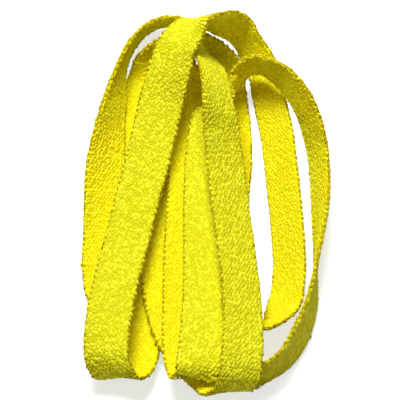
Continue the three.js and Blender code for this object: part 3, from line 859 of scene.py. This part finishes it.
@dataclass
class YarnFloats:
    """The raised floats of the braid: one short slanted bundle at every crossing."""

    route: LaceRoute
    section: BraidSection
    finish: bpy.types.Material
    parts: int = 4
    length: float = 0.00128
    width: float = 0.00080
    rise: float = 0.00012
    sunk: float = 0.00003
    slant: float = math.radians(31.0)
    size_spread: float = 0.25
    turn_spread: float = math.radians(25.0)
    stray: float = 0.00019
    least_squeeze: float = 0.45
    around: int = 6
    rings: tuple[tuple[float, float], ...] = ((-0.30, 0.95), (0.55, 0.86))
    seed: int = 7

    @cached_property
    def rng(self) -> np.random.Generator:
        """The source of the floats' small displacements."""
        return np.random.default_rng(self.seed)

    def float_mesh(self) -> bpy.types.Object:
        """One float of yarn: a low bean, long along X, with a flat hidden underside.

        Returns:
            A closed shape of unit half length, unit half width and unit rise. Each ring of it
            has a height and a reach.
        """
        around, rings = self.around, self.rings
        points = []
        for height, reach in rings:
            for k in range(around):
                angle = 2 * math.pi * (k + 0.5) / around
                points.append((reach * math.cos(angle), reach * math.sin(angle), height))
        points.append((0.0, 0.0, 1.0))
        faces: list[tuple[int, ...]] = [tuple(reversed(range(around)))]
        for ring in range(len(rings) - 1):
            for k in range(around):
                a, b = ring * around + k, ring * around + (k + 1) % around
                faces.append((a, b, b + around, a + around))
        top = len(points) - 1
        last = (len(rings) - 1) * around
        faces += [(last + k, last + (k + 1) % around, top) for k in range(around)]
        shape = mesh_object("float_of_yarn", np.array(points), faces)
        store(shape.data, "across_yarn", np.array([p[1] for p in points]))
        return shape

    def lattice(self, rows: np.ndarray, name: str) -> bpy.types.Object:
        """The crossings of the braid as loose points that carry their directions.

        Args:
            rows: the numbers of the rows of crossings along the lace.
            name: the object's name.

        Returns:
            A mesh of vertices with outward, lengthwise and size attributes.
        """
        sizes = self.route.sizes
        frames = self.route.frames((rows + 0.5) * sizes.row_pitch)
        places, outs, ways, scales, sides = [], [], [], [], []
        for i, row in enumerate(rows):
            turns = (np.arange(sizes.columns) + 0.5 * (row % 2)) / sizes.columns
            share = frames.share[i]
            squeeze = max(share, self.least_squeeze)
            ring, facing = self.section.loop(share, turns)
            out = facing[:, :1] * frames.across[i] + facing[:, 1:] * frames.out[i]
            spot = frames.place[i] + ring[:, :1] * frames.across[i] + ring[:, 1:] * frames.out[i]
            side = np.cross(out, frames.along[i])
            lean = self.slant if row % 2 else -self.slant
            way = math.cos(lean) * frames.along[i] + math.sin(lean) * side
            loose = self.rng.uniform(-self.stray, self.stray, (len(turns), 2))
            drift = loose[:, :1] * frames.along[i] + loose[:, 1:] * side * squeeze
            places.append(spot - out * self.sunk + drift)
            outs.append(out)
            ways.append(way)
            scale = (self.length / 2, self.width / 2 * squeeze, self.rise * squeeze)
            scales.append(np.tile(scale, (len(turns), 1)))
            sides.append(facing[:, 1])
        points = np.vstack(places)
        holder = mesh_object(name, points, [])
        store(holder.data, "outward", np.vstack(outs))
        store(holder.data, "lengthwise", np.vstack(ways))
        store(holder.data, "float_size", np.vstack(scales))
        store(holder.data, "face_side", np.concatenate(sides))
        return holder

    def tree(self) -> bpy.types.NodeTree:
        """The Geometry Nodes tree that sets a float of yarn on every crossing.

        Returns:
            A tree with named inputs for the float, the spreads, the seed and the material.
        """
        tree = bpy.data.node_groups.new("lay_floats", "GeometryNodeTree")
        face = tree.interface
        face.new_socket("Geometry", in_out="INPUT", socket_type="NodeSocketGeometry")
        for label, kind in (
            ("Float", "NodeSocketObject"),
            ("Size Spread", "NodeSocketFloat"),
            ("Turn Spread", "NodeSocketFloat"),
            ("Seed", "NodeSocketInt"),
            ("Yarn", "NodeSocketMaterial"),
        ):
            face.new_socket(label, in_out="INPUT", socket_type=kind)
        face.new_socket("Geometry", in_out="OUTPUT", socket_type="NodeSocketGeometry")
        nodes, links = tree.nodes, tree.links
        given = nodes.new("NodeGroupInput")
        taken = nodes.new("NodeGroupOutput")

        def named(label: str) -> bpy.types.NodeSocket:
            """A vector attribute of the crossings."""
            node = nodes.new("GeometryNodeInputNamedAttribute")
            node.data_type = "FLOAT_VECTOR"
            node.inputs["Name"].default_value = label
            return node.outputs["Attribute"]

        axes = nodes.new("FunctionNodeAxesToRotation")
        axes.primary_axis = "Z"
        axes.secondary_axis = "X"
        links.new(named("outward"), axes.inputs["Primary Axis"])
        links.new(named("lengthwise"), axes.inputs["Secondary Axis"])

        less = math_node(tree, "MULTIPLY", given.outputs["Turn Spread"], -1.0)
        turn = nodes.new("FunctionNodeRandomValue")
        turn.data_type = "FLOAT"
        links.new(less, turn.inputs[2])
        links.new(given.outputs["Turn Spread"], turn.inputs[3])
        links.new(given.outputs["Seed"], turn.inputs["Seed"])
        spin = nodes.new("ShaderNodeCombineXYZ")
        links.new(turn.outputs[1], spin.inputs["Z"])
        turned = nodes.new("FunctionNodeRotateRotation")
        turned.rotation_space = "LOCAL"
        links.new(axes.outputs["Rotation"], turned.inputs["Rotation"])
        links.new(spin.outputs["Vector"], turned.inputs["Rotate By"])

        smallest = math_node(tree, "SUBTRACT", 1.0, given.outputs["Size Spread"])
        largest = math_node(tree, "ADD", 1.0, given.outputs["Size Spread"])
        grown = nodes.new("FunctionNodeRandomValue")
        grown.data_type = "FLOAT"
        links.new(smallest, grown.inputs[2])
        links.new(largest, grown.inputs[3])
        links.new(given.outputs["Seed"], grown.inputs["Seed"])
        scale = nodes.new("ShaderNodeVectorMath")
        scale.operation = "SCALE"
        links.new(named("float_size"), scale.inputs[0])
        links.new(grown.outputs[1], scale.inputs["Scale"])

        shape = nodes.new("GeometryNodeObjectInfo")
        links.new(given.outputs["Float"], shape.inputs["Object"])
        lay = nodes.new("GeometryNodeInstanceOnPoints")
        links.new(given.outputs["Geometry"], lay.inputs["Points"])
        links.new(shape.outputs["Geometry"], lay.inputs["Instance"])
        links.new(turned.outputs["Rotation"], lay.inputs["Rotation"])
        links.new(scale.outputs["Vector"], lay.inputs["Scale"])

        tone = nodes.new("FunctionNodeRandomValue")
        tone.data_type = "FLOAT"
        links.new(given.outputs["Seed"], tone.inputs["Seed"])
        keep = nodes.new("GeometryNodeStoreNamedAttribute")
        keep.data_type = "FLOAT"
        keep.domain = "INSTANCE"
        keep.inputs["Name"].default_value = "tone"
        links.new(lay.outputs["Instances"], keep.inputs["Geometry"])
        links.new(tone.outputs[1], keep.inputs["Value"])

        real = nodes.new("GeometryNodeRealizeInstances")
        dress = nodes.new("GeometryNodeSetMaterial")
        links.new(keep.outputs["Geometry"], real.inputs["Geometry"])
        links.new(real.outputs["Geometry"], dress.inputs["Geometry"])
        links.new(given.outputs["Yarn"], dress.inputs["Material"])
        links.new(dress.outputs["Geometry"], taken.inputs["Geometry"])
        return tree

    def build(self) -> list[bpy.types.Object]:
        """Lay the floats over the whole braid.

        Returns:
            Plain meshes, each holding the floats of one part of the lace's length.
        """
        shape = self.float_mesh()
        tree = self.tree()
        count = int(self.route.length / self.route.sizes.row_pitch)
        pieces = []
        for part, rows in enumerate(np.array_split(np.arange(count), self.parts), start=1):
            holder = self.lattice(rows, f"crossings_{part}")
            modifier = holder.modifiers.new("floats", "NODES")
            modifier.node_group = tree
            values = {
                "Float": shape,
                "Size Spread": self.size_spread,
                "Turn Spread": self.turn_spread,
                "Seed": self.seed + part,
                "Yarn": self.finish,
            }
            for item in tree.interface.items_tree:
                if item.in_out == "INPUT" and item.name in values:
                    modifier[item.identifier] = values[item.name]
            pieces.append(bake_nodes(holder, f"yarn_floats_{part}"))
        bpy.data.objects.remove(shape)
        return pieces


def bake_nodes(holder: bpy.types.Object, name: str) -> bpy.types.Object:
    """Turn an object's Geometry Nodes result into a plain mesh object.

    Args:
        holder: the object that carries the modifier; it is removed.
        name: the new object's name.

    Returns:
        The plain object, at the origin.
    """
    bpy.context.view_layer.update()
    graph = bpy.context.evaluated_depsgraph_get()
    mesh = bpy.data.meshes.new_from_object(holder.evaluated_get(graph))
    mesh.name = name
    for spare in ("outward", "lengthwise", "float_size"):
        if spare in mesh.attributes:
            mesh.attributes.remove(mesh.attributes[spare])
    mesh.polygons.foreach_set("use_smooth", np.ones(len(mesh.polygons), bool))
    holder.modifiers.clear()
    bpy.data.objects.remove(holder)
    thing = bpy.data.objects.new(name, mesh)
    bpy.context.scene.collection.objects.link(thing)
    return thing


@dataclass
class TipSleeve:
    """A film sleeve rolled on to one end of the braid: one wrap and a lapped seam."""

    route: LaceRoute
    node: str
    finish: bpy.types.Material
    width: float = 0.0043
    height: float = 0.0026
    wall: float = 0.0003
    lap: float = 0.00012
    lap_span: tuple[float, float] = (1.2, 2.5)
    crimp_depth: float = 0.035
    crimp_reach: float = 0.12
    rolled_edge: float = 0.0004
    rings: int = 26
    around: int = 56

    def loop(self, width: float, height: float, lap: float) -> np.ndarray:
        """A flattened ring with round ends and a step where the film laps itself.

        Args:
            width: the ring's width.
            height: the ring's height.
            lap: how far the lapped film stands out.

        Returns:
            The ring's points as across and out distances.
        """
        angle = 2 * math.pi * (np.arange(self.around) + 0.5) / self.around
        radius = height / 2
        shift = np.sign(np.cos(angle)) * (width / 2 - radius)
        first, last = self.lap_span
        lapped = 1.0 + lap / radius * ((angle > first) & (angle < last))
        return np.stack([shift + radius * np.cos(angle), radius * np.sin(angle) * lapped], axis=1)

    def build(self) -> bpy.types.Object:
        """Build the sleeve around its end of the lace.

        Returns:
            A closed wall, open at both ends of the sleeve.
        """
        at_start = self.node.endswith("a")
        tip = self.route.sizes.tip_length
        start = 0.0 if at_start else self.route.length - tip
        share = np.linspace(0.0, 1.0, self.rings)
        frames = self.route.frames(start + share * tip)
        eased = np.minimum(share, 1.0 - share) * tip
        rolled = np.clip(eased / self.rolled_edge, 0.0, 1.0) ** 0.5
        points = []
        for i, place in enumerate(frames.place):
            crimp = 1.0 - self.crimp_depth * math.exp(-(((share[i] - 0.5) / self.crimp_reach) ** 2))
            edge = self.wall * 0.5 * (1.0 - rolled[i])
            for inset, lap in ((edge, self.lap), (self.wall - edge, 0.0)):
                width = (self.width - 2 * inset) * crimp
                height = (self.height - 2 * inset) * crimp
                ring = self.loop(width, height, lap * rolled[i])
                points.append(place + ring[:, :1] * frames.across[i] + ring[:, 1:] * frames.out[i])
        n = self.around

        def at(ring: int, side: int, k: int) -> int:
            """The number of one point: its ring, outer or inner side, and place around."""
            return (ring * 2 + side) * n + k % n

        faces: list[tuple[int, ...]] = []
        last = self.rings - 1
        for k in range(n):
            for ring in range(last):
                for side in (0, 1):
                    near = (at(ring, side, k), at(ring, side, k + 1))
                    far = (at(ring + 1, side, k + 1), at(ring + 1, side, k))
                    faces.append(near + far)
            for ring in (0, last):
                outer = (at(ring, 0, k), at(ring, 0, k + 1))
                faces.append(outer + (at(ring, 1, k + 1), at(ring, 1, k)))
        sleeve = mesh_object(f"film_{self.node}", np.vstack(points), faces)
        face_outward(sleeve)
        sleeve.data.materials.append(self.finish)
        return sleeve


@dataclass
class Lace:
    """The whole lace: its body, its floats of yarn and its two film sleeves."""

    sizes: BraidSizes = field(default_factory=BraidSizes)

    def build(self) -> None:
        route = LaceRoute(self.sizes)
        section = BraidSection(self.sizes)
        yarn = YarnFinish().make()
        # The body under the floats takes darker colours than the floats: painted shade in the pits
        # between them.
        shaded_ground = YarnFinish(
            name="shaded_ground_yarn",
            deep=(0.62, 0.58, 0.004, 1.0),
            light=(0.82, 0.80, 0.014, 1.0),
            painted_glow_deep=(0.84, 0.66, 0.003, 1.0),
            painted_glow_light=(0.95, 0.82, 0.009, 1.0),
            roughness=0.85,
            sheen=0.0,
            filaments=9.0,
        ).make()
        film = FilmFinish().make()

        body, path = BraidBody(route, section, shaded_ground).build()
        floats = YarnFloats(route, section, yarn).build()
        sleeves = [TipSleeve(route, node, film).build() for node in TIP_NODES]
        for piece in [body, *floats]:
            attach(piece, ROOT)
        for piece, node in zip(sleeves, TIP_NODES):
            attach(piece, ROOT)
            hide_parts(node)
        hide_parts(*[stretch.name for stretch in STRETCHES])
        route.length
        for piece in [body, *floats, *sleeves]:
            LOG.info("%s: %d faces", piece.name, len(piece.data.polygons))
        LOG.info("lace length %.3f m", route.length)


# ---- floor, light and camera ------------------------------------------------------------------
@dataclass
class Studio:
    """A plain pale floor, soft light and the camera.

    The floor's glow is for the camera only, so that it keeps the floor pale and lights nothing.
    """

    target: Vector = field(default_factory=lambda: Vector((-0.00136, 0.00064, 0.006)))
    elevation: float = math.radians(68.0)
    distance: float = 0.70
    view_width: float = 0.0915
    sensor: float = 36.0
    floor_half: float = 2.0
    floor_z: float = -0.00035
    floor_color: tuple[float, float, float, float] = (0.78, 0.78, 0.78, 1.0)
    key_place: Vector = field(default_factory=lambda: Vector((-0.07, 0.30, 0.60)))
    key_size: float = 0.26
    key_watts: float = 5.0
    ambient: float = 0.19
    ambient_color: tuple[float, float, float, float] = (1.0, 0.80, 0.62, 1.0)
    glow: tuple[float, float, float] = (0.62, 0.64, 0.66)

    def camera(self) -> None:
        """Set the camera above the near side of the bundle, looking along +Y and down."""
        data = bpy.data.cameras.new("camera")
        data.sensor_width = self.sensor
        data.lens = self.sensor * self.distance / self.view_width
        data.clip_start = 0.01
        camera = bpy.data.objects.new("camera", data)
        bpy.context.scene.collection.objects.link(camera)
        back = Vector((0.0, -math.cos(self.elevation), math.sin(self.elevation)))
        camera.location = self.target + self.distance * back
        camera.rotation_euler = (math.pi / 2 - self.elevation, 0.0, 0.0)
        bpy.context.scene.camera = camera

    def lights(self) -> None:
        """Hang a large square key lamp over the far side, in a warm even surround."""
        data = bpy.data.lights.new("key_lamp", "AREA")
        data.size = self.key_size
        data.energy = self.key_watts
        lamp = bpy.data.objects.new("key_lamp", data)
        bpy.context.scene.collection.objects.link(lamp)
        lamp.location = self.key_place
        lamp.rotation_euler = (self.target - self.key_place).to_track_quat("-Z", "Y").to_euler()
        world = bpy.data.worlds.new("studio")
        world.use_nodes = True
        sky = world.node_tree.nodes["Background"]
        sky.inputs["Color"].default_value = self.ambient_color
        sky.inputs["Strength"].default_value = self.ambient
        bpy.context.scene.world = world
        bpy.context.scene.view_settings.view_transform = "Standard"

    def floor(self) -> None:
        """Lay a matt pale floor under the bundle."""
        half = self.floor_half
        signs = ((-1, -1), (1, -1), (1, 1), (-1, 1))
        corners = np.array([(x * half, y * half, 0.0) for x, y in signs])
        floor = mesh_object("floor", corners, [(0, 1, 2, 3)])
        floor.location.z = self.floor_z
        material = bpy.data.materials.new("pale_floor")
        material.use_nodes = True
        shader = material.node_tree.nodes["Principled BSDF"]
        shader.inputs["Base Color"].default_value = self.floor_color
        shader.inputs["Roughness"].default_value = 0.95
        shader.inputs["Specular IOR Level"].default_value = 0.1
        shader.inputs["Emission Color"].default_value = (*self.glow, 1.0)
        ray = material.node_tree.nodes.new("ShaderNodeLightPath")
        seen = ray.outputs["Is Camera Ray"]
        material.node_tree.links.new(seen, shader.inputs["Emission Strength"])
        floor.data.materials.append(material)


def main() -> None:
    logging.basicConfig(level=logging.INFO, format="%(name)s %(message)s")
    studio = Studio()
    studio.camera()
    Lace().build()
    studio.floor()
    studio.lights()


if __name__ == "__main__":
    main()
